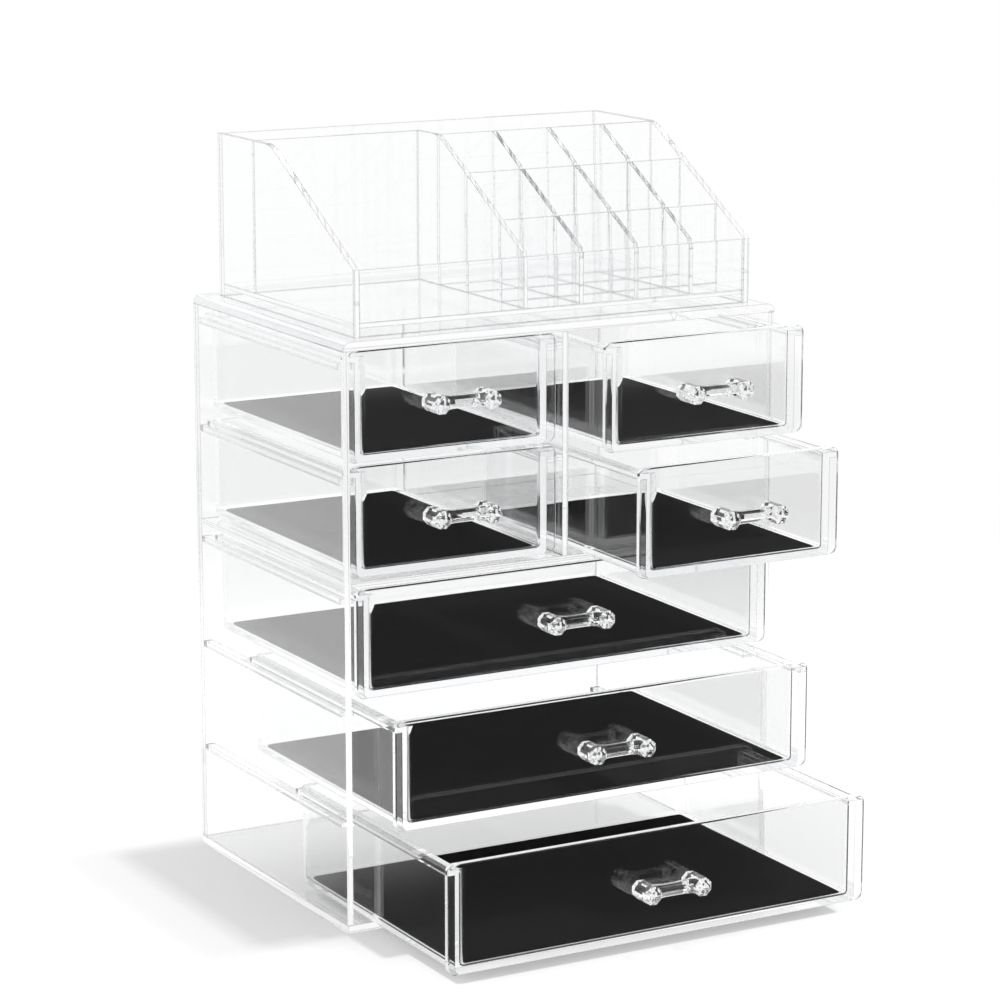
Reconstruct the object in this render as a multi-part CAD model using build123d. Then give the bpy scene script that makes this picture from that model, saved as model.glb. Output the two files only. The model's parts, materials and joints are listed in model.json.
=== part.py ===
from build123d import *
import math
import os

# Makeup organizer in clear moulded plastic: a case with five rows of drawers and a loose tray on top.
# Frame: origin at the middle of the case's base, +X to the right, +Y to the back, +Z up.
# All sizes are in millimetres. The drawers are placed as far out as they are photographed.

# Case
case_width = 240.0
case_depth = 167.0
side_thickness = 3.2
top_thickness = 4.4
base_thickness = 4.0
back_thickness = 3.0
divider_thickness = 3.2
shelf_thickness = 2.4
case_top_radius = 4.0
panel_front_radius = 1.0

# Film of cement between pieces that are joined
joint_gap = 0.05

# Rows of drawer fronts, and the gaps around them
front_height = 53.6
top_gap = 1.0
row_gap = 1.6
shelf_gap = 0.9
bottom_gap = 2.2
front_side_gap = 1.2
closed_recess = 5.3
drawer_back_gap = 0.7

# Drawer tub
front_thickness = 3.0
front_corner_radius = 4.0
front_edge_radius = 0.8
tub_inset = 4.5
tub_wall = 2.6
tub_floor = 2.8
tub_corner_radius = 4.0
tub_bottom_radius = 2.5
cavity_corner_radius = 3.0
cavity_bottom_radius = 2.4
rim_drop = 3.0
rim_thickness = 2.6
rim_setback = 0.3

# Runners that carry the drawer rims
runner_height = 3.2
runner_side_gap = 0.5
slide_clearance = 0.2
runner_stop_gap = 0.3

# Handle: two faceted posts and a faceted bar
post_spacing = 27.5
post_across = 9.4
post_length = 16.0
post_bevel = 1.7
bar_across = 6.6
bar_reach = 9.2
flare_across = 8.4
flare_length = 3.2
pin_diameter = 4.0
pin_clearance = 0.1
facet_count = 8

# Liner on the drawer floor
liner_thickness = 1.6
liner_clearance = 0.4
liner_corner_radius = 2.0

# Top tray
tray_side_inset = 10.0
tray_front_inset = 8.5
tray_back_inset = 10.5
tray_seat_gap = 0.05
tray_height = 82.0
tray_front_height = 32.0
tray_slope_depth = 88.0
tray_bend_radius = 24.0
tray_wall = 3.0
tray_divider = 2.4
tray_floor_raise = 4.0
tray_floor_thickness = 2.6
left_bay_width = 89.2
left_bay_depth = 105.0
middle_slot_depth = 31.5
front_slot_depth = 22.5
slot_columns = 4
lap_clearance = 0.1
lap_share = 0.5
bend_limit_share = 0.9

# How far each drawer stands out of its closed place
pull_top_left = 1.0
pull_top_right = 38.4
pull_second_left = 1.5
pull_second_right = 70.2
pull_third = 8.4
pull_fourth = 47.1
pull_bottom = 98.0

# Heights of the five rows, from the bottom row up
row_step = front_height + row_gap
bottom_row_z = base_thickness + bottom_gap
fourth_row_z = bottom_row_z + row_step
third_row_z = fourth_row_z + row_step
shelf_z = third_row_z + front_height + shelf_gap
second_row_z = shelf_z + shelf_thickness + shelf_gap
top_row_z = second_row_z + row_step
top_panel_z = top_row_z + front_height + top_gap
case_height = top_panel_z + top_thickness

# Faces of the case that other pieces follow
case_front = -case_depth / 2
case_back = case_depth / 2
back_panel_face = case_back - back_thickness
side_face = case_width / 2 - side_thickness
divider_face = divider_thickness / 2
closed_front = case_front + closed_recess

# Widths and lengths of the drawers
wide_front_width = 2 * (side_face - front_side_gap)
small_front_width = side_face - divider_face - 2 * front_side_gap
small_center = (side_face + divider_face) / 2
drawer_length = back_panel_face - drawer_back_gap - closed_front
tub_height = front_height - rim_drop
handle_height = front_height / 2

# Runners
runner_front = closed_front + front_thickness + runner_stop_gap
runner_width = front_side_gap + tub_inset - runner_side_gap
runner_drop = rim_drop + rim_thickness + slide_clearance + runner_height

# Tray faces
tray_z = case_height + tray_seat_gap
tray_half_width = case_width / 2 - tray_side_inset
tray_front = case_front + tray_front_inset
tray_back = case_back - tray_back_inset
tray_inner_x = tray_half_width - tray_wall
tray_inner_front = tray_front + tray_wall
tray_inner_back = tray_back - tray_wall
tray_floor_z = tray_floor_raise + tray_floor_thickness
plate_z = tray_floor_z + joint_gap
slope_start = tray_front + tray_slope_depth
slope_angle = math.atan2(tray_height - tray_front_height, tray_slope_depth)
partition_left = -tray_inner_x + left_bay_width
partition_right = partition_left + tray_divider
bay_back = tray_inner_front + left_bay_depth
front_cross_y = tray_inner_front + front_slot_depth
rear_cross_y = front_cross_y + tray_divider + middle_slot_depth
slots_back = slope_start
slot_width = (tray_inner_x - partition_right - (slot_columns - 1) * tray_divider) / slot_columns

# Every drawer: name, middle in X, bottom in Z, front width, pull
DRAWERS = [
    ("top_left", -small_center, top_row_z, small_front_width, pull_top_left),
    ("top_right", small_center, top_row_z, small_front_width, pull_top_right),
    ("second_left", -small_center, second_row_z, small_front_width, pull_second_left),
    ("second_right", small_center, second_row_z, small_front_width, pull_second_right),
    ("third", 0, third_row_z, wide_front_width, pull_third),
    ("fourth", 0, fourth_row_z, wide_front_width, pull_fourth),
    ("bottom", 0, bottom_row_z, wide_front_width, pull_bottom),
]


def block(x_range, y_range, z_range):
    """A box between two limits on each axis."""
    spans = [limits[1] - limits[0] for limits in (x_range, y_range, z_range)]
    corner = (x_range[0], y_range[0], z_range[0])
    return Pos(corner) * Box(*spans, align=(Align.MIN, Align.MIN, Align.MIN))


def side_panel(side):
    """A side panel with rounded front edges; side is -1 on the left and 1 on the right."""
    x_range = sorted((side * side_face, side * case_width / 2))
    panel = block(x_range, (case_front, case_back), (base_thickness + joint_gap, top_panel_z - joint_gap))
    front_edges = panel.edges().filter_by(Axis.Z).group_by(Axis.Y)[0]
    return fillet(front_edges, panel_front_radius)


def top_panel():
    """The lid of the case, rounded along its two long upper edges."""
    half = case_width / 2
    lid = block((-half, half), (case_front, case_back), (top_panel_z, case_height))
    upper_edges = lid.edges().filter_by(Axis.Y).group_by(Axis.Z)[-1]
    return fillet(upper_edges, case_top_radius)


def case_pieces():
    """The plates of the case, each butted against its neighbours and cemented."""
    half = case_width / 2
    inner_half = side_face - joint_gap
    full_depth = (case_front, case_back)
    inner_depth = (case_front, back_panel_face - joint_gap)
    inner_width = (-inner_half, inner_half)
    upright = (base_thickness + joint_gap, top_panel_z - joint_gap)
    shelf_top = shelf_z + shelf_thickness
    return {
        "case_base_panel": block((-half, half), full_depth, (0, base_thickness)),
        "case_left_panel": side_panel(-1),
        "case_right_panel": side_panel(1),
        "case_back_panel": block(inner_width, (back_panel_face, case_back), upright),
        "case_top_panel": top_panel(),
        "case_middle_shelf": block(inner_width, inner_depth, (shelf_z, shelf_top)),
        "case_center_divider": block(
            (-divider_face, divider_face), inner_depth, (shelf_top + joint_gap, top_panel_z - joint_gap)),
    }


def runner(x_face, direction, row_z):
    """A rail on an upright face, reaching from it in the given X direction under a drawer's rim."""
    x_range = sorted((x_face + direction * joint_gap, x_face + direction * runner_width))
    lower = row_z + front_height - runner_drop
    return block(x_range, (runner_front, back_panel_face - joint_gap), (lower, lower + runner_height))


def drawer_tub(front_width):
    """The moulded drawer: tall front, lower tub behind it and a rim along each side of the tub."""
    half_front = front_width / 2
    half_tub = half_front - tub_inset
    tub_y = (front_thickness, drawer_length)

    front = block((-half_front, half_front), (0, front_thickness), (0, front_height))
    front = fillet(front.edges().filter_by(Axis.Y), front_corner_radius)
    front = fillet(front.faces().sort_by(Axis.Y)[0].edges(), front_edge_radius)

    tub = block((-half_tub, half_tub), tub_y, (0, tub_height))
    tub = fillet(tub.edges().filter_by(Axis.Z).group_by(Axis.Y)[-1], tub_corner_radius)
    tub = fillet(tub.faces().sort_by(Axis.Z)[0].edges().group_by(Axis.Y)[1:], tub_bottom_radius)

    half_cavity = half_tub - tub_wall
    cavity_y = (front_thickness, drawer_length - tub_wall)
    cavity = block((-half_cavity, half_cavity), cavity_y, (tub_floor, front_height))
    cavity = fillet(cavity.edges().filter_by(Axis.Z), cavity_corner_radius)
    cavity = fillet(cavity.faces().sort_by(Axis.Z)[0].edges(), cavity_bottom_radius)

    rim_y = (front_thickness, drawer_length - tub_corner_radius)
    rim_z = (tub_height - rim_thickness, tub_height)
    rim_edge = half_front - rim_setback
    rims = [block(sorted((side * half_tub, side * rim_edge)), rim_y, rim_z) for side in (-1, 1)]

    hole = Cylinder(pin_diameter / 2 + pin_clearance, 2 * front_thickness, rotation=(90, 0, 0))
    holes = [Pos(side * post_spacing / 2, front_thickness, handle_height) * hole for side in (-1, 1)]
    return front + (tub + rims - cavity) - holes


def facets(place, plane, across):
    """A regular polygon across its corners, parallel to the given plane, with a flat side up."""
    return place * (plane * RegularPolygon(across / 2, facet_count, rotation=180 / facet_count))


def handle_post(x):
    """A faceted post with bevelled ends and a pin that goes through the drawer front."""
    place = Pos(x, 0, 0)
    prism = extrude(facets(place, Plane.XZ, post_across), post_length)
    ends = prism.faces().filter_by(Axis.Y)
    post = chamfer(ends.edges(), post_bevel)
    pin = place * extrude(Plane.XZ * Circle(pin_diameter / 2), -front_thickness)
    return post + pin


def handle_bar():
    """The faceted grip between the posts, wider where it meets them."""
    def section(x, across):
        return facets(Pos(x, -bar_reach, 0), Plane.YZ, across)

    end = post_spacing / 2
    neck = end - post_across / 2 - flare_length
    bar = extrude(section(-end, bar_across), post_spacing)
    flares = [
        loft([section(side * neck, bar_across), section(side * end, flare_across)]) for side in (-1, 1)
    ]
    return bar + flares


def drawer_handle():
    """Both posts and the bar, made in one piece."""
    posts = [handle_post(side * post_spacing / 2) for side in (-1, 1)]
    return handle_bar() + posts


def drawer_liner(front_width):
    """A thin pad that lies loose on the drawer's floor."""
    margin = tub_wall + cavity_bottom_radius + liner_clearance
    half = front_width / 2 - tub_inset - margin
    y_range = (front_thickness + margin - tub_wall, drawer_length - margin)
    pad = block((-half, half), y_range, (tub_floor, tub_floor + liner_thickness))
    return fillet(pad.edges().filter_by(Axis.Z), liner_corner_radius)


def drawer_pieces():
    """Tub, handle and liner of each drawer, and its two runners."""
    pieces = {}
    for name, x, z, front_width, pull in DRAWERS:
        place = Pos(x, closed_front - pull, z)
        pieces[f"drawer_{name}_tub"] = place * drawer_tub(front_width)
        pieces[f"drawer_{name}_handle"] = place * Pos(0, -joint_gap, handle_height) * drawer_handle()
        pieces[f"drawer_{name}_liner"] = place * drawer_liner(front_width)
        bay = front_width / 2 + front_side_gap
        pieces[f"runner_{name}_on_left"] = runner(x - bay, 1, z)
        pieces[f"runner_{name}_on_right"] = runner(x + bay, -1, z)
    return pieces


def tray_rise(y):
    """Height of the tray's slanted upper edge above its lower edge at a depth y."""
    return min(tray_height, tray_front_height + math.tan(slope_angle) * (y - tray_front))


def slanted_plate(x_range, y_range, lower):
    """An upright plate along Y whose upper edge follows the tray's slope and then runs level."""
    points = [(y_range[1], lower), (y_range[0], lower), (y_range[0], tray_rise(y_range[0]))]
    level = y_range[1] - slope_start
    if level > 0:
        points.append((slope_start, tray_height))
    points.append((y_range[1], tray_rise(y_range[1])))
    outline = make_face(Polyline(*points, close=True))
    if level > 0:
        bend = outline.vertices().sort_by_distance((slope_start, tray_height))[0]
        largest_radius = bend_limit_share * level / math.tan(slope_angle / 2)
        outline = fillet(bend, min(tray_bend_radius, largest_radius))
    plate = extrude(Plane.YZ * outline, x_range[1] - x_range[0])
    return Pos(x_range[0], 0, tray_z) * plate


def tray_block(x_range, y_range, z_range):
    """A box whose heights are measured from the tray's lower edge."""
    return Pos(0, 0, tray_z) * block(x_range, y_range, z_range)


def lap_height(y):
    """Height of the half lap where a cross wall meets a slot divider."""
    return tray_floor_z + lap_share * (tray_rise(y) - tray_floor_z)


def slot_divider(column):
    """A divider between two slot columns, notched from above for the cross walls."""
    left = partition_right + column * slot_width + (column - 1) * tray_divider
    x_range = (left, left + tray_divider)
    plate = slanted_plate(x_range, (tray_inner_front + joint_gap, slots_back - joint_gap), plate_z)
    for y in (front_cross_y, rear_cross_y):
        notch_y = (y - lap_clearance, y + tray_divider + lap_clearance)
        plate -= tray_block(x_range, notch_y, (lap_height(y), tray_height))
    return plate


def cross_wall(y):
    """A wall across the slot columns, notched from below for the slot dividers."""
    x_range = (partition_right + joint_gap, tray_inner_x - joint_gap)
    y_range = (y, y + tray_divider)
    wall = tray_block(x_range, y_range, (plate_z, tray_rise(y)))
    for column in range(1, slot_columns):
        left = partition_right + column * slot_width + (column - 1) * tray_divider
        notch_x = (left - lap_clearance, left + tray_divider + lap_clearance)
        wall -= tray_block(notch_x, y_range, (tray_floor_z, lap_height(y) + lap_clearance))
    return wall


def tray_pieces():
    """The tray's outer walls, raised floor, and the plates that part its space."""
    inner_half = tray_inner_x - joint_gap
    inner_x = (-inner_half, inner_half)
    outer_y = (tray_front, tray_back)
    inner_y = (tray_inner_front + joint_gap, tray_inner_back - joint_gap)
    bay_wall_y = (bay_back, bay_back + tray_divider)
    slot_wall_y = (slots_back, slots_back + tray_divider)
    tall = (plate_z, tray_height)
    pieces = {
        "tray_left_wall": slanted_plate((-tray_half_width, -tray_inner_x), outer_y, 0),
        "tray_right_wall": slanted_plate((tray_inner_x, tray_half_width), outer_y, 0),
        "tray_front_wall": tray_block(inner_x, (tray_front, tray_inner_front), (0, tray_front_height)),
        "tray_back_wall": tray_block(inner_x, (tray_inner_back, tray_back), (0, tray_height)),
        "tray_floor": tray_block(inner_x, inner_y, (tray_floor_raise, tray_floor_z)),
        "tray_partition": slanted_plate(
            (partition_left, partition_right), (inner_y[0], bay_wall_y[1]), plate_z),
        "tray_bay_rear_wall": tray_block((-inner_half, partition_left - joint_gap), bay_wall_y, tall),
        "tray_slot_rear_wall": tray_block((partition_right + joint_gap, inner_half), slot_wall_y, tall),
        "tray_cross_wall_front": cross_wall(front_cross_y),
        "tray_cross_wall_rear": cross_wall(rear_cross_y),
    }
    for column in range(1, slot_columns):
        pieces[f"tray_slot_divider_{column}"] = slot_divider(column)
    return pieces


os.makedirs("parts", exist_ok=True)
for node, shape in {**case_pieces(), **drawer_pieces(), **tray_pieces()}.items():
    export_step(shape, f"parts/{node}.step")
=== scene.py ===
import json
import math

import bpy
import numpy as np
from bpy.props import FloatProperty, FloatVectorProperty, IntProperty, PointerProperty
from bpy.types import Operator, Panel, PropertyGroup
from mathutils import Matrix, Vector


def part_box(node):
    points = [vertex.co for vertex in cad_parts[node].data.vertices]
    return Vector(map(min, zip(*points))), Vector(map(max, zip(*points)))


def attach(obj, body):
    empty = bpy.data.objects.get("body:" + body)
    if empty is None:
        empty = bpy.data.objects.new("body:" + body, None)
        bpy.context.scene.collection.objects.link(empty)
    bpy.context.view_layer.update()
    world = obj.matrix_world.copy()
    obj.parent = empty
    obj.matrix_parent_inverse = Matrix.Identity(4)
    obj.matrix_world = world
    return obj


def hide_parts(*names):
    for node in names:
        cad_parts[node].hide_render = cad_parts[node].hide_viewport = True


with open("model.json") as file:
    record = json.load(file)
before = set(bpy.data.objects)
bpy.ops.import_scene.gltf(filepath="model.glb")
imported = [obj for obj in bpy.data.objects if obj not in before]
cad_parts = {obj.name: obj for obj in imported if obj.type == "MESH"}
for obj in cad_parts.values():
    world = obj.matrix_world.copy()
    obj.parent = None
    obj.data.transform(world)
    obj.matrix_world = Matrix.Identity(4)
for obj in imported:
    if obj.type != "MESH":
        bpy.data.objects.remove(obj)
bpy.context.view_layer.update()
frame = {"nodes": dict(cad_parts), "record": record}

bl_info = {
    "name": "Clear Drawer Organizer",
    "version": (1, 0, 0),
    "blender": (4, 5, 0),
    "location": "View3D > Sidebar > Organizer",
    "description": "Finishes, drawer pads and a studio for a clear plastic organizer",
    "category": "Object",
}

BODIES = frame["record"]["behaviour"]["bodies"]
DRAWER_BODIES = [body for body in BODIES if body.startswith("drawer_")]

# Light
BOUNCES = 48  # enough for light to find its way through all the plates
WHITE = (1.0, 1.0, 1.0, 1.0)

# Smudges of the plastic, and painted shade along its edges
SMUDGE_SCALE = 38.0  # noise cells to a metre
SMUDGE_DETAIL = 1.0
SMUDGE_BREAKUP = 0.6
SMUDGE_LIMITS = (0.6, 0.8)  # noise at which a smudge starts, and at which it is full
EDGE_SHADE_LIMITS = (0.99, 0.8)  # cosine from rounded to flat normal where the painted edge shade starts, and where it is full
EDGE_SHADE_SAMPLES = 4

# Felt
FIBRE_LAYERS = ((0.5, 5.0), (2.1, 6.0), (3.6, 4.0))  # turn in radians, and how much finer across the fibres
FIBRE_CELLS = 0.5  # noise cells to the length of a fibre
FIBRE_DETAIL = 2.0
FIBRE_BREAKUP = 0.6
FIBRE_LIMITS = (0.5, 0.78)  # noise at which a fibre starts to get paler, and at which it is palest
FIBRE_BUMP = 0.6
FIBRE_HEIGHT = 0.0003
MOTTLE_SCALE = 55.0  # noise cells to a metre
MOTTLE_DETAIL = 3.0
FELT_ROUGHNESS = 0.95
FELT_SHINE = 0.06
FELT_SHEEN = 0.04
FELT_SHEEN_ROUGHNESS = 0.5

# Grid and swells of a pad
LIP_STEPS = 7
FACE_STEPS = 64
SWELL_RATES = (40, 75, 130)  # radians to a metre along X
SWELL_RATIO = 1.3  # of the rates along Y to those along X
TINY = 1e-9  # keeps a division from zero

# Studio
CARD_FOOT = (0.3, 0.6)  # Z of the direction where the dark card starts, and where it is full
CARD_SIDE = (0.2, -0.3)  # Y of the direction, in the same way
FLOOR_DROP = 0.0002  # keeps the floor clear of the case's underside
ONE, ONE_MARGIN = 1.0, 0.5  # for a count of reflections that is exactly one


class PlasticSettings(PropertyGroup):
    """Clear moulded plastic of the plates, tubs and handles."""

    tint: FloatVectorProperty(
        name="Tint", description="Colour of what is seen through one plate", subtype="COLOR",
        size=4, min=0, max=1, default=(0.993, 0.995, 0.996, 1))
    shadow_tint: FloatVectorProperty(
        name="Shadow tint", description="Light that one face lets through to what lies behind it",
        subtype="COLOR", size=4, min=0, max=1, default=(0.95, 0.95, 0.95, 1))
    leaving_tint: FloatVectorProperty(
        name="Leaving tint", description="Light that one face lets out after it ran far inside a plate",
        subtype="COLOR", size=4, min=0, max=1, default=(0.975, 0.977, 0.98, 1))
    # Painted shade: what is seen through the edge strips takes this dark colour, in place of the dark lines
    # that rounded edges show by reflection and refraction.
    painted_edge_tint: FloatVectorProperty(
        name="Edge tint", description="Colour of what is seen through a worn edge", subtype="COLOR",
        size=4, min=0, max=1, default=(0.16, 0.165, 0.17, 1))
    edge_width: FloatProperty(
        name="Edge width", description="Width of the worn edges of plates and tubs", unit="LENGTH",
        min=0, max=0.01, precision=4, default=0.0008)
    bend: FloatProperty(
        name="IOR", description="Refractive index of the plastic", min=1, max=2, default=1.57)
    inner_reflections: IntProperty(
        name="Inner reflections", description="Reflections before light leaves a plate straight",
        min=0, max=BOUNCES, default=40)
    drawer_reflections: IntProperty(
        name="Drawer reflections",
        description="Reflections before light leaves a drawer tub straight and passes its pad",
        min=0, max=BOUNCES, default=3)
    handle_reflections: IntProperty(
        name="Handle reflections", description="Reflections before light leaves a handle straight",
        min=0, max=BOUNCES, default=8)
    haze: FloatProperty(
        name="Haze", description="Roughness of a clean face", subtype="FACTOR", min=0, max=1, default=0.0)
    smudge: FloatProperty(
        name="Smudge", description="Roughness that handling adds in patches", subtype="FACTOR",
        min=0, max=1, default=0.02)
    waviness: FloatProperty(
        name="Waviness", description="Height of the moulded faces' slow waves", unit="LENGTH",
        min=0, max=0.001, precision=6, default=0.00001)
    wave_length: FloatProperty(
        name="Wave length", description="Length of those waves", unit="LENGTH",
        min=0.001, max=0.2, default=0.045)


class PadSettings(PropertyGroup):
    """Dark felt pads on the drawer floors."""

    color: FloatVectorProperty(
        name="Colour", description="Colour of the felt", subtype="COLOR", size=4, min=0, max=1,
        default=(0.008, 0.0077, 0.008, 1))
    fibre_color: FloatVectorProperty(
        name="Fibre colour", description="Colour of the paler fibres", subtype="COLOR", size=4, min=0, max=1,
        default=(0.022, 0.0212, 0.022, 1))
    fibre_length: FloatProperty(
        name="Fibre length", description="Length of one fibre on the face", unit="LENGTH",
        min=0.0001, max=0.01, precision=5, default=0.0016)
    lift: FloatProperty(
        name="Lift", description="Air between the pad and the drawer floor", unit="LENGTH",
        min=0, max=0.001, precision=5, default=0.00008)
    corner_radius: FloatProperty(
        name="Corner radius", description="Radius of the pad's corners", unit="LENGTH",
        min=0, max=0.02, precision=4, default=0.002)
    lip: FloatProperty(
        name="Lip", description="Width over which the cut edge rolls down", unit="LENGTH",
        min=0, max=0.01, precision=4, default=0.0009)
    swell: FloatProperty(
        name="Swell", description="Height of the slow swells of the face", unit="LENGTH",
        min=0, max=0.001, precision=5, default=0.00012)


class StudioSettings(PropertyGroup):
    """Floor, light and camera around the organizer."""

    floor_color: FloatVectorProperty(
        name="Floor", description="Colour of the floor", subtype="COLOR", size=4, min=0, max=1,
        default=(0.86, 0.86, 0.86, 1))
    floor_lift: FloatProperty(
        name="Floor lift", description="Light added to the floor as it is seen", min=0, max=1, default=0.4)
    floor_reach: FloatProperty(
        name="Floor reach", description="Distance at which the lit floor runs out into white", unit="LENGTH",
        default=0.9)
    through_lift: FloatProperty(
        name="Through lift", description="Light added to the floor as it is seen through plates",
        min=0, max=1, default=0.1)
    # Painted reflection: a dark mat on the floor that only faces mirroring it once see, while the camera sees
    # the floor there white; these set its brightness and its soft ends along Y.
    painted_reflection_light: FloatProperty(
        name="Mat light", description="Brightness of the dark mat in front, as faces mirror it",
        min=0, max=1, default=0.08)
    painted_reflection_back: FloatVectorProperty(
        name="Mat back", description="Y limits of the mat's soft rear end", unit="LENGTH", size=2,
        default=(-0.1, 0.15))
    painted_reflection_front: FloatVectorProperty(
        name="Mat front", description="Y limits of the mat's soft front end", unit="LENGTH", size=2,
        default=(-1.25, -1.5))
    dark_card: FloatProperty(
        name="Dark card", description="How much the dark card above the front takes from the light",
        min=0, max=1, default=0.6)
    floor_size: FloatProperty(
        name="Floor size", description="Side of the floor", unit="LENGTH", default=60.0)
    sky_light: FloatProperty(
        name="Sky light", description="Strength of the even light from all sides", min=0, max=2, default=0.5)
    lamp_power: FloatProperty(
        name="Lamp power", description="Power of the lamp above the right side", unit="POWER", default=15.0)
    lamp_place: FloatVectorProperty(
        name="Lamp place", description="Place of the lamp", subtype="TRANSLATION", unit="LENGTH", size=3,
        default=(0.33, -0.03, 1.9))
    lamp_size: FloatVectorProperty(
        name="Lamp size", description="Width and length of the lamp", unit="LENGTH", size=2,
        default=(0.1, 0.12))
    camera_place: FloatVectorProperty(
        name="Camera", description="Place of the camera", subtype="TRANSLATION", unit="LENGTH", size=3,
        default=(-0.8661, -1.5625, 0.5709))
    camera_turn: FloatProperty(
        name="Turn", description="Angle of the view to the right of straight ahead", subtype="ANGLE",
        default=math.radians(29.294))
    camera_dip: FloatProperty(
        name="Dip", description="Angle of the view below level", subtype="ANGLE",
        default=math.radians(12.173))
    lens: FloatProperty(
        name="Lens", description="Focal length for a sensor 36 mm wide", unit="CAMERA", default=129.93)


class OrganizerSettings(PropertyGroup):
    """All settings of the organizer's looks."""

    plastic: PointerProperty(type=PlasticSettings)
    pads: PointerProperty(type=PadSettings)
    studio: PointerProperty(type=StudioSettings)


def add(tree, kind, inputs=None, **fields):
    """Adds a node, sets its fields, and sets or links each named input."""
    node = tree.nodes.new(kind)
    for field, value in fields.items():
        setattr(node, field, value)
    for name, value in (inputs or {}).items():
        if isinstance(value, bpy.types.NodeSocket):
            tree.links.new(value, node.inputs[name])
        else:
            node.inputs[name].default_value = value
    return node


def math_node(tree, operation, *values):
    """A Math node on the given sockets or numbers; gives its result."""
    return add(tree, "ShaderNodeMath", dict(enumerate(values)), operation=operation).outputs[0]


def any_of(tree, *sockets):
    """The largest of several masks."""
    result = sockets[0]
    for socket in sockets[1:]:
        result = math_node(tree, "MAXIMUM", result, socket)
    return result


def smooth_step(tree, value, start, end, low=0.0, high=1.0):
    """A soft step of a value between two limits, from low to high."""
    return add(tree, "ShaderNodeMapRange", {
        "Value": value, "From Min": start, "From Max": end, "To Min": low, "To Max": high},
        interpolation_type="SMOOTHSTEP").outputs[0]


def mix_values(tree, mask, first, second):
    """The first value where the mask is 0 and the second where it is 1."""
    return add(tree, "ShaderNodeMix", {0: mask, 2: first, 3: second}).outputs[0]


def mix_colors(tree, mask, first, second):
    """The first colour where the mask is 0 and the second where it is 1."""
    return add(tree, "ShaderNodeMix", {0: mask, 6: first, 7: second}, data_type="RGBA").outputs[2]


def mix_shaders(tree, mask, first, second):
    """The first shader where the mask is 0 and the second where it is 1."""
    return add(tree, "ShaderNodeMixShader", {0: mask, 1: first, 2: second}).outputs[0]


def looks_on(tree, path):
    """Mask of the light paths by which the studio is seen: straight, mirrored or through plastic."""
    return any_of(tree, path.outputs["Is Camera Ray"], path.outputs["Is Glossy Ray"],
                  path.outputs["Is Transmission Ray"])


def clear_for_far_light(tree, path, shader, reflections, tint):
    """A shader that lets light pass straight, with a tint, after more than a number of reflections."""
    ran_inside = math_node(tree, "GREATER_THAN", path.outputs["Glossy Depth"], reflections)
    leaving = add(tree, "ShaderNodeBsdfTransparent", {"Color": tint})
    return mix_shaders(tree, ran_inside, shader, leaving.outputs[0])


def new_material(name):
    """A material with an empty node tree, and its output node."""
    material = bpy.data.materials.new(name)
    material.use_nodes = True
    material.node_tree.nodes.clear()
    return material, material.node_tree, add(material.node_tree, "ShaderNodeOutputMaterial")


def new_group(name, inputs, outputs):
    """A shader node group with float or vector sockets; gives the tree and its two end nodes."""
    tree = bpy.data.node_groups.new(name, "ShaderNodeTree")
    for socket, kind in inputs.items():
        tree.interface.new_socket(socket, in_out="INPUT", socket_type=kind)
    for socket, kind in outputs.items():
        tree.interface.new_socket(socket, in_out="OUTPUT", socket_type=kind)
    return tree, add(tree, "NodeGroupInput"), add(tree, "NodeGroupOutput")


def handled_face_group():
    """Roughness and height of a moulded, handled face: haze, soft smudges and slow waves."""
    found = bpy.data.node_groups.get("Handled Face")
    if found:
        return found
    tree, start, end = new_group(
        "Handled Face",
        {"Vector": "NodeSocketVector", "Haze": "NodeSocketFloat", "Smudge": "NodeSocketFloat",
         "Wave Length": "NodeSocketFloat"},
        {"Roughness": "NodeSocketFloat", "Height": "NodeSocketFloat"})
    vector = start.outputs["Vector"]
    patches = add(tree, "ShaderNodeTexNoise", {
        "Vector": vector, "Scale": SMUDGE_SCALE, "Detail": SMUDGE_DETAIL, "Roughness": SMUDGE_BREAKUP})
    rubbed = smooth_step(tree, patches.outputs["Fac"], *SMUDGE_LIMITS)
    smudged = math_node(tree, "MULTIPLY", rubbed, start.outputs["Smudge"])
    roughness = math_node(tree, "ADD", smudged, start.outputs["Haze"])
    wave_scale = math_node(tree, "DIVIDE", 1.0, start.outputs["Wave Length"])
    waves = add(tree, "ShaderNodeTexNoise", {"Vector": vector, "Scale": wave_scale, "Detail": 0.0})
    tree.links.new(roughness, end.inputs["Roughness"])
    tree.links.new(waves.outputs["Fac"], end.inputs["Height"])
    return tree


def painted_edge_group():
    """Mask of the narrow strips along a piece's edges, where its rounded normal leaves the flat one; the
    strips carry painted shade.
    """
    found = bpy.data.node_groups.get("Painted Edge")
    if found:
        return found
    tree, start, end = new_group("Painted Edge", {"Width": "NodeSocketFloat"}, {"Edge": "NodeSocketFloat"})
    rounded = add(tree, "ShaderNodeBevel", {"Radius": start.outputs["Width"]}, samples=EDGE_SHADE_SAMPLES)
    flat = add(tree, "ShaderNodeNewGeometry")
    along = add(tree, "ShaderNodeVectorMath", {0: rounded.outputs["Normal"], 1: flat.outputs["True Normal"]},
                operation="DOT_PRODUCT")
    edge = smooth_step(tree, math_node(tree, "ABSOLUTE", along.outputs["Value"]), *EDGE_SHADE_LIMITS)
    tree.links.new(edge, end.inputs["Edge"])
    return tree


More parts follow.
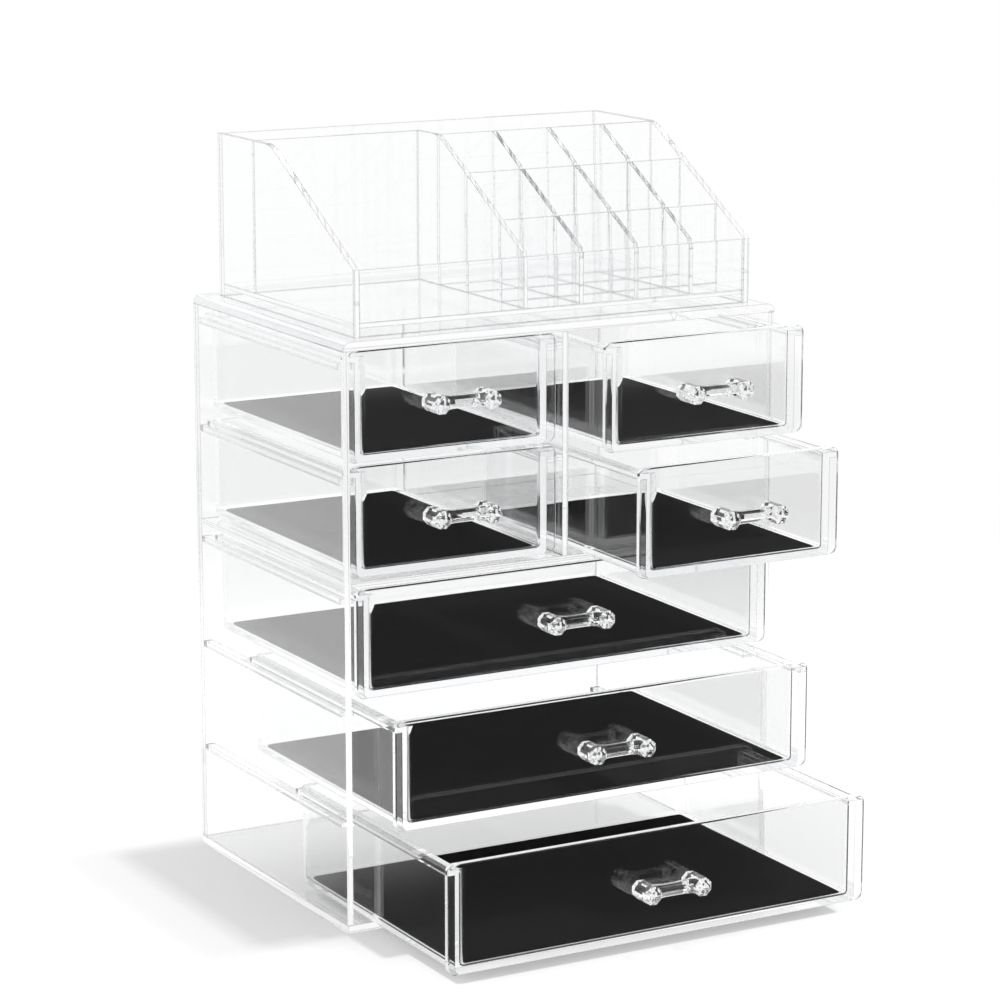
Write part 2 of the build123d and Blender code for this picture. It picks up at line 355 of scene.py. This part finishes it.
def clear_plastic(name, settings, inner_reflections, edge_width=0.0):
    """Clear plastic that bends light, with painted shade along its edges of the given width in place of the
    dark lines of rounded edges;
    lamps and scattered light pass it straight, and so does light that has run far inside a piece."""
    material, tree, output = new_material(name)
    place = add(tree, "ShaderNodeTexCoord").outputs["Object"]
    face = add(tree, "ShaderNodeGroup", node_tree=handled_face_group())
    tree.links.new(place, face.inputs["Vector"])
    face.inputs["Haze"].default_value = settings.haze
    face.inputs["Smudge"].default_value = settings.smudge
    face.inputs["Wave Length"].default_value = settings.wave_length
    bump = add(tree, "ShaderNodeBump", {"Height": face.outputs["Height"], "Distance": settings.waviness})
    color = settings.tint
    # Painted shade: the edge strips tint what is seen through them dark, in place of the reflection lines of
    # rounded edges.
    if edge_width:
        painted = add(tree, "ShaderNodeGroup", node_tree=painted_edge_group())
        painted.inputs["Width"].default_value = edge_width
        color = mix_colors(tree, painted.outputs["Edge"], settings.tint, settings.painted_edge_tint)
    plastic = add(tree, "ShaderNodeBsdfPrincipled", {
        "Base Color": color, "Metallic": 0.0, "Roughness": face.outputs["Roughness"],
        "IOR": settings.bend, "Transmission Weight": 1.0, "Normal": bump.outputs[0]})
    path = add(tree, "ShaderNodeLightPath")
    seen = clear_for_far_light(tree, path, plastic.outputs[0], inner_reflections, settings.leaving_tint)
    lit_through = any_of(tree, path.outputs["Is Shadow Ray"], path.outputs["Is Diffuse Ray"])
    passing = add(tree, "ShaderNodeBsdfTransparent", {"Color": settings.shadow_tint})
    surface = mix_shaders(tree, lit_through, seen, passing.outputs[0])
    tree.links.new(surface, output.inputs["Surface"])
    return material


def felt(name, settings, inner_reflections):
    """Matte felt, with short crossed fibres that give the colour and the height; light that has run far
    inside the drawer's plastic passes it straight, as it passes the plastic."""
    material, tree, output = new_material(name)
    place = add(tree, "ShaderNodeTexCoord").outputs["Object"]
    layers = []
    for turn, stretch in FIBRE_LAYERS:
        turned = add(tree, "ShaderNodeMapping", {
            "Vector": place, "Rotation": (0.0, 0.0, turn), "Scale": (stretch, 1.0, 1.0)})
        layers.append(add(tree, "ShaderNodeTexNoise", {
            "Vector": turned.outputs[0], "Scale": FIBRE_CELLS / settings.fibre_length,
            "Detail": FIBRE_DETAIL, "Roughness": FIBRE_BREAKUP}).outputs["Fac"])
    fibres = any_of(tree, *layers)
    mottle = add(tree, "ShaderNodeTexNoise", {
        "Vector": place, "Scale": MOTTLE_SCALE, "Detail": MOTTLE_DETAIL})
    paler_from, palest_from = FIBRE_LIMITS
    paler = add(tree, "ShaderNodeMapRange", {
        "Value": fibres, "From Min": paler_from, "From Max": palest_from})
    mixed = math_node(tree, "MULTIPLY", paler.outputs[0], mottle.outputs["Fac"])
    color = mix_colors(tree, mixed, settings.color, settings.fibre_color)
    bump = add(tree, "ShaderNodeBump", {
        "Height": fibres, "Strength": FIBRE_BUMP, "Distance": FIBRE_HEIGHT})
    cloth = add(tree, "ShaderNodeBsdfPrincipled", {
        "Base Color": color, "Roughness": FELT_ROUGHNESS, "Specular IOR Level": FELT_SHINE,
        "Sheen Weight": FELT_SHEEN, "Sheen Roughness": FELT_SHEEN_ROUGHNESS, "Normal": bump.outputs[0]})
    path = add(tree, "ShaderNodeLightPath")
    surface = clear_for_far_light(tree, path, cloth.outputs[0], inner_reflections, WHITE)
    tree.links.new(surface, output.inputs["Surface"])
    return material


def assign(node, material):
    """Gives a CAD node one material all over."""
    slots = frame["nodes"][node].data.materials
    slots.clear()
    slots.append(material)


def mesh_object(name, points, faces):
    """A smooth shaded mesh object at the origin, from an array of points and an array of quads."""
    mesh = bpy.data.meshes.new(name)
    mesh.from_pydata(points.tolist(), [], faces.tolist())
    mesh.polygons.foreach_set("use_smooth", np.ones(len(faces), bool))
    mesh.update()
    made = bpy.data.objects.new(name, mesh)
    bpy.context.scene.collection.objects.link(made)
    return made


def spread(half, lip):
    """Even steps across from -half to half, with close steps within the lip at both ends."""
    rolled = half - lip * np.linspace(0, 1, LIP_STEPS) ** 2
    middle = np.linspace(-(half - lip), half - lip, FACE_STEPS)[1:-1]
    return np.concatenate((-rolled, middle, rolled[::-1]))


def quads(index):
    """The quads between neighbours in a grid of point numbers, facing up."""
    return np.stack((index[:-1, :-1], index[1:, :-1], index[1:, 1:], index[:-1, 1:]), -1).reshape(-1, 4)


def felt_pad(name, low, high, settings, seed):
    """A pad as two sheets that share their rim.

    A grid point (x, y) of the rectangle stays, except in a corner square of side r, where it moves to
    q * max(qx, qy) / |q| from the square's inner corner, which makes the corner round. With d the distance
    from the rim, s = 1 - min(d / lip, 1), and the sheets lie at mid +- half * sqrt(1 - s * s). The upper
    sheet also carries slow swells, a mean of products of sines that fades out at the rim.
    """
    half_x, half_y = (high.x - low.x) / 2, (high.y - low.y) / 2
    x, y = np.meshgrid(spread(half_x, settings.lip), spread(half_y, settings.lip), indexing="ij")
    rim = np.minimum(half_x - np.abs(x), half_y - np.abs(y))
    qx = np.abs(x) - (half_x - settings.corner_radius)
    qy = np.abs(y) - (half_y - settings.corner_radius)
    corner = (qx > 0) & (qy > 0)
    pull = np.where(corner, np.maximum(qx, qy) / np.maximum(np.hypot(qx, qy), TINY), 1)
    x = np.where(corner, np.sign(x) * (half_x - settings.corner_radius + qx * pull), x)
    y = np.where(corner, np.sign(y) * (half_y - settings.corner_radius + qy * pull), y)

    bottom, top = low.z + settings.lift, high.z - settings.swell
    inner = np.minimum(rim / settings.lip, 1)
    roll = (top - bottom) / 2 * np.sqrt(np.maximum(1 - (1 - inner) ** 2, 0))
    middle = (top + bottom) / 2
    draws = np.random.default_rng(seed).uniform(0, 2 * math.pi, (len(SWELL_RATES), 2))
    waves = sum(np.sin(x * rate + a) * np.sin(y * rate * SWELL_RATIO + b)
                for rate, (a, b) in zip(SWELL_RATES, draws)) / len(SWELL_RATES)
    upper = middle + roll + settings.swell * waves * inner
    lower = middle - roll

    rows, columns = x.shape
    above = np.arange(rows * columns).reshape(rows, columns)
    on_rim = np.zeros((rows, columns), bool)
    on_rim[[0, -1], :] = True
    on_rim[:, [0, -1]] = True
    below = above.copy()
    below[~on_rim] = rows * columns + np.arange(np.count_nonzero(~on_rim))
    center = (low + high) / 2
    flat = np.stack((x + center.x, y + center.y), axis=-1)
    points = np.concatenate((
        np.dstack((flat, upper)).reshape(-1, 3), np.dstack((flat, lower))[~on_rim]))
    return mesh_object(name, points, np.concatenate((quads(above), quads(below)[:, ::-1])))


class ORGANIZER_OT_finish_case(Operator):
    """Give the case's plates and runners their clear plastic"""

    bl_idname = "organizer.finish_case"
    bl_label = "Finish Case"

    def execute(self, context):
        settings = context.scene.organizer.plastic
        material = clear_plastic("case plastic", settings, settings.inner_reflections, settings.edge_width)
        for node in BODIES["case"]:
            assign(node, material)
        return {"FINISHED"}


class ORGANIZER_OT_finish_drawers(Operator):
    """Give the drawer tubs their clear plastic"""

    bl_idname = "organizer.finish_drawers"
    bl_label = "Finish Drawers"

    def execute(self, context):
        settings = context.scene.organizer.plastic
        material = clear_plastic("drawer plastic", settings, settings.drawer_reflections, settings.edge_width)
        for body in DRAWER_BODIES:
            assign(body + "_tub", material)
        return {"FINISHED"}


class ORGANIZER_OT_finish_handles(Operator):
    """Give the faceted handles their clear plastic"""

    bl_idname = "organizer.finish_handles"
    bl_label = "Finish Handles"

    def execute(self, context):
        settings = context.scene.organizer.plastic
        material = clear_plastic("handle plastic", settings, settings.handle_reflections)
        for body in DRAWER_BODIES:
            assign(body + "_handle", material)
        return {"FINISHED"}


class ORGANIZER_OT_finish_tray(Operator):
    """Give the top tray's plates their clear plastic"""

    bl_idname = "organizer.finish_tray"
    bl_label = "Finish Tray"

    def execute(self, context):
        settings = context.scene.organizer.plastic
        material = clear_plastic("tray plastic", settings, settings.inner_reflections, settings.edge_width)
        for node in BODIES["top_tray"]:
            assign(node, material)
        return {"FINISHED"}


class ORGANIZER_OT_lay_pads(Operator):
    """Lay a felt pad on the floor of each drawer"""

    bl_idname = "organizer.lay_pads"
    bl_label = "Lay Pads"

    def execute(self, context):
        settings = context.scene.organizer.pads
        material = felt("pad felt", settings, context.scene.organizer.plastic.drawer_reflections)
        for seed, body in enumerate(DRAWER_BODIES):
            low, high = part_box(body + "_liner")
            pad = felt_pad(body + "_pad", low, high, settings, seed)
            pad.data.materials.append(material)
            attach(pad, body)
            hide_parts(body + "_liner")
        return {"FINISHED"}


def floor_material(settings):
    """Pale floor that takes shadows near the object and runs out into white; faces that mirror it once see a
    painted dark reflection of a mat, which the camera doesn't see.
    """
    material, tree, output = new_material("studio floor")
    path = add(tree, "ShaderNodeLightPath")
    place = add(tree, "ShaderNodeTexCoord").outputs["Object"]
    looks = looks_on(tree, path)
    through = math_node(tree, "MULTIPLY", path.outputs["Is Transmission Ray"], settings.through_lift)
    lift = math_node(tree, "MULTIPLY_ADD", looks, settings.floor_lift, through)
    lit = add(tree, "ShaderNodeBsdfDiffuse", {"Color": settings.floor_color})
    glow = add(tree, "ShaderNodeEmission", {"Strength": lift})
    near = add(tree, "ShaderNodeAddShader", {0: lit.outputs[0], 1: glow.outputs[0]})
    distance = add(tree, "ShaderNodeVectorMath", {0: place}, operation="LENGTH").outputs["Value"]
    far = smooth_step(tree, distance, settings.floor_reach / 2, settings.floor_reach)
    white = add(tree, "ShaderNodeEmission", {"Strength": 1.0})
    plain = mix_shaders(tree, math_node(tree, "MULTIPLY", far, looks), near.outputs[0], white.outputs[0])
    # Painted reflection: rays mirrored once see the floor glow dark between these limits, as a mat that isn't
    # there for the camera.
    depth = add(tree, "ShaderNodeSeparateXYZ", {0: place}).outputs["Y"]
    behind = smooth_step(tree, depth, *settings.painted_reflection_back)
    ahead = smooth_step(tree, depth, *settings.painted_reflection_front)
    beside = any_of(tree, behind, ahead)
    mirrored = smooth_step(tree, beside, 0.0, 1.0, settings.painted_reflection_light, 1.0)
    mirror = add(tree, "ShaderNodeEmission", {"Strength": mirrored})
    once = math_node(tree, "COMPARE", path.outputs["Glossy Depth"], ONE, ONE_MARGIN)
    mirrored_once = math_node(tree, "MULTIPLY", path.outputs["Is Glossy Ray"], once)
    surface = mix_shaders(tree, mirrored_once, plain, mirror.outputs[0])
    tree.links.new(surface, output.inputs["Surface"])
    return material


def studio_world(settings):
    """Even light on the object, plain white for what looks past it, and a dark card above the front
    that shows in facets."""
    world = bpy.data.worlds.new("studio")
    world.use_nodes = True
    tree = world.node_tree
    path = add(tree, "ShaderNodeLightPath")
    toward = add(tree, "ShaderNodeSeparateXYZ", {0: add(tree, "ShaderNodeTexCoord").outputs["Generated"]})
    high = smooth_step(tree, toward.outputs["Z"], *CARD_FOOT)
    ahead = smooth_step(tree, toward.outputs["Y"], *CARD_SIDE)
    card = math_node(tree, "MULTIPLY", math_node(tree, "MULTIPLY", high, ahead), settings.dark_card)
    beside_card = math_node(tree, "SUBTRACT", 1.0, card)
    seen = mix_values(tree, path.outputs["Is Camera Ray"], beside_card, 1.0)
    strength = mix_values(tree, looks_on(tree, path), settings.sky_light, seen)
    background = tree.nodes["Background"]
    background.inputs["Color"].default_value = WHITE
    tree.links.new(strength, background.inputs["Strength"])
    return world


def lay_floor(settings):
    """A wide square floor just below the case."""
    half = settings.floor_size / 2
    corners = np.array([(-half, -half), (half, -half), (half, half), (-half, half)])
    points = np.column_stack((corners, np.full(len(corners), -FLOOR_DROP)))
    floor = mesh_object("studio_floor", points, np.array([(0, 1, 2, 3)]))
    floor.data.materials.append(floor_material(settings))


def hang_lamp(settings):
    """A lamp that shines straight down, with a soft edge to its shadows; no plate or facet mirrors it."""
    lamp = bpy.data.lights.new("key", "AREA")
    lamp.shape = "RECTANGLE"
    lamp.size, lamp.size_y = settings.lamp_size
    lamp.energy = settings.lamp_power
    made = bpy.data.objects.new("key", lamp)
    made.location = settings.lamp_place
    made.visible_glossy = False
    made.visible_transmission = False
    bpy.context.scene.collection.objects.link(made)


def set_camera(scene, settings):
    """A camera with level sides, turned to the right and dipped by its two angles."""
    camera = bpy.data.cameras.new("view")
    camera.lens = settings.lens
    camera.clip_end = settings.floor_size
    viewer = bpy.data.objects.new("view", camera)
    viewer.location = settings.camera_place
    level = math.cos(settings.camera_dip)
    ahead = Vector((
        math.sin(settings.camera_turn) * level, math.cos(settings.camera_turn) * level,
        -math.sin(settings.camera_dip)))
    viewer.rotation_mode = "QUATERNION"
    viewer.rotation_quaternion = ahead.to_track_quat("-Z", "Y")
    scene.collection.objects.link(viewer)
    scene.camera = viewer


class ORGANIZER_OT_set_studio(Operator):
    """Set up the floor, the lamp, the world and the camera"""

    bl_idname = "organizer.set_studio"
    bl_label = "Set Studio"

    def execute(self, context):
        scene = context.scene
        settings = scene.organizer.studio
        scene.view_settings.view_transform = "Standard"
        scene.cycles.max_bounces = BOUNCES
        scene.cycles.glossy_bounces = BOUNCES
        scene.cycles.transmission_bounces = BOUNCES
        scene.cycles.transparent_max_bounces = BOUNCES
        scene.world = studio_world(settings)
        lay_floor(settings)
        hang_lamp(settings)
        set_camera(scene, settings)
        return {"FINISHED"}


OPERATORS = (
    ORGANIZER_OT_finish_case,
    ORGANIZER_OT_finish_drawers,
    ORGANIZER_OT_finish_handles,
    ORGANIZER_OT_finish_tray,
    ORGANIZER_OT_lay_pads,
    ORGANIZER_OT_set_studio,
)


class ORGANIZER_PT_sidebar(Panel):
    """Settings and steps of the organizer's looks."""

    bl_label = "Organizer"
    bl_space_type = "VIEW_3D"
    bl_region_type = "UI"
    bl_category = "Organizer"

    def draw(self, context):
        settings = context.scene.organizer
        for heading in ("plastic", "pads", "studio"):
            box = self.layout.box()
            box.label(text=heading.title())
            group = getattr(settings, heading)
            for field in group.__annotations__:
                box.prop(group, field)
        for operator in OPERATORS:
            self.layout.operator(operator.bl_idname)


CLASSES = (
    PlasticSettings,
    PadSettings,
    StudioSettings,
    OrganizerSettings,
    *OPERATORS,
    ORGANIZER_PT_sidebar,
)


def register():
    """Registers all classes and gives each scene its settings."""
    for kind in CLASSES:
        bpy.utils.register_class(kind)
    bpy.types.Scene.organizer = PointerProperty(type=OrganizerSettings)


def unregister():
    """Takes back what register did, in the other order."""
    del bpy.types.Scene.organizer
    for kind in reversed(CLASSES):
        bpy.utils.unregister_class(kind)


def main():
    """Registers the classes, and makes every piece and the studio."""
    register()
    bpy.ops.organizer.finish_case()
    bpy.ops.organizer.finish_drawers()
    bpy.ops.organizer.finish_handles()
    bpy.ops.organizer.finish_tray()
    bpy.ops.organizer.lay_pads()
    bpy.ops.organizer.set_studio()


if __name__ == "__main__":
    main()
